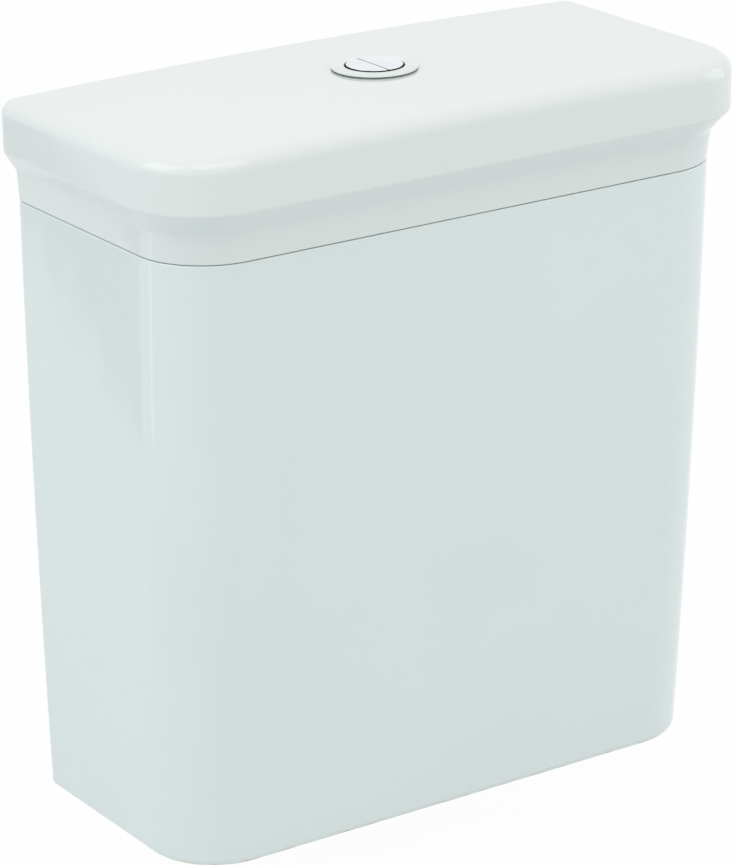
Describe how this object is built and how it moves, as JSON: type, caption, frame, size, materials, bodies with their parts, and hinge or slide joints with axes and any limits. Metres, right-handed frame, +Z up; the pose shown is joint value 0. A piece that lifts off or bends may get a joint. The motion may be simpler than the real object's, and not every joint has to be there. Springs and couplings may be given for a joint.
{
  "type": "toilet cistern",
  "caption": "Close-coupled toilet cistern in white vitreous china with an overhanging lid, a twin push button and the flush and fill valves inside.",
  "frame": {"origin": "on the flat back of the tank, on its centre line, level with the tank's underside", "axes": "+Z up, +Y out of the back towards the wall, +X to the right of someone facing the front"},
  "size_m": [0.391, 0.1849, 0.4571],
  "materials": {
    "china": "gloss",
    "chrome_plate": "polished",
    "white_plastic": "satin",
    "grey_plastic": "satin",
    "blue_plastic": "satin",
    "black_rubber": "matte",
    "red_rubber": "matte",
    "foam_rubber": "matte",
    "clear_rubber": "satin",
    "zinc_steel": "satin",
    "spring_steel": "polished"
  },
  "bodies": {
    "cistern": {"tank": "china", "lid_pads": "clear_rubber", "valve_tail": "white_plastic", "valve_base": "white_plastic", "valve_base_washer": "black_rubber", "valve_back_nut": "grey_plastic", "coupling_washer": "foam_rubber", "valve_cage": "white_plastic", "bridge_plate": "grey_plastic", "lever_posts": "grey_plastic", "lever_pins": "spring_steel", "inlet_shank": "white_plastic", "inlet_washer": "black_rubber", "inlet_back_nut": "grey_plastic", "inlet_filter": "grey_plastic", "inner_riser": "white_plastic", "riser_lock_ring": "grey_plastic", "valve_head": "white_plastic", "valve_diaphragm": "black_rubber", "valve_head_cap": "grey_plastic", "float_arm_pin": "spring_steel", "refill_tube": "grey_plastic", "coupling_bolts": "zinc_steel", "bolt_seals": "black_rubber", "bolt_washers": "zinc_steel", "bolt_nuts": "zinc_steel"},
    "lid": {"lid": "china", "button_ring": "chrome_plate", "button_housing": "white_plastic", "button_seal": "foam_rubber", "button_nut": "white_plastic", "full_button_spring": "spring_steel", "half_button_spring": "spring_steel"},
    "full_button": {"full_flush_button": "chrome_plate", "full_push_rod": "white_plastic"},
    "half_button": {"half_flush_button": "chrome_plate", "half_push_rod": "white_plastic"},
    "full_lever": {"full_flush_lever": "blue_plastic"},
    "half_lever": {"half_flush_lever": "blue_plastic"},
    "flush_stem": {"lift_tube": "white_plastic", "yoke_collar": "grey_plastic", "yoke_frame": "grey_plastic", "main_seal": "red_rubber", "seal_plate": "white_plastic", "seal_retainer": "grey_plastic", "full_flush_float": "blue_plastic"},
    "half_float": {"half_flush_float": "blue_plastic"},
    "fill_float": {"float_cup": "white_plastic", "adjusting_screw": "grey_plastic"},
    "float_arm": {"float_arm": "blue_plastic"}
  },
  "joints": [
    {"name": "lid_lift", "type": "slide", "parent": "cistern", "child": "lid", "axis": [0, 0, 1], "range_m": [0, 0.12]},
    {"name": "full_button_press", "type": "slide", "parent": "lid", "child": "full_button", "axis": [0, 0, -1], "range_m": [0, 0.006], "stiffness_N_per_m": 300, "springref_m": -0.01, "deforming": ["full_button_spring"]},
    {"name": "half_button_press", "type": "slide", "parent": "lid", "child": "half_button", "axis": [0, 0, -1], "range_m": [0, 0.006], "stiffness_N_per_m": 300, "springref_m": -0.01, "deforming": ["half_button_spring"]},
    {"name": "full_lever_tilt", "type": "hinge", "parent": "cistern", "child": "full_lever", "pos_m": [0.026, -0.081, 0.3], "axis": [0, -1, 0], "range_deg": [0, 19.7]},
    {"name": "half_lever_tilt", "type": "hinge", "parent": "cistern", "child": "half_lever", "pos_m": [-0.026, -0.081, 0.3], "axis": [0, 1, 0], "range_deg": [0, 19.7]},
    {"name": "stem_lift", "type": "slide", "parent": "cistern", "child": "flush_stem", "axis": [0, 0, 1], "range_m": [0, 0.00801]},
    {"name": "half_float_set", "type": "slide", "parent": "flush_stem", "child": "half_float", "axis": [0, 0, 1], "range_m": [-0.012, 0.02]},
    {"name": "fill_float_rise", "type": "slide", "parent": "cistern", "child": "fill_float", "axis": [0, 0, 1], "range_m": [0, 0.012]},
    {"name": "float_arm_tilt", "type": "hinge", "parent": "cistern", "child": "float_arm", "pos_m": [-0.125, -0.081, 0.304], "axis": [0, -1, 0], "range_deg": [0, 17.7]}
  ],
  "couplings": [
    {"joint": "full_lever_tilt", "follows": "full_button_press", "rad_per_m": 57.143},
    {"joint": "half_lever_tilt", "follows": "half_button_press", "rad_per_m": 57.143},
    {"joint": "stem_lift", "follows": "full_button_press", "ratio": 1.3333},
    {"joint": "float_arm_tilt", "follows": "fill_float_rise", "rad_per_m": 25.641}
  ]
}
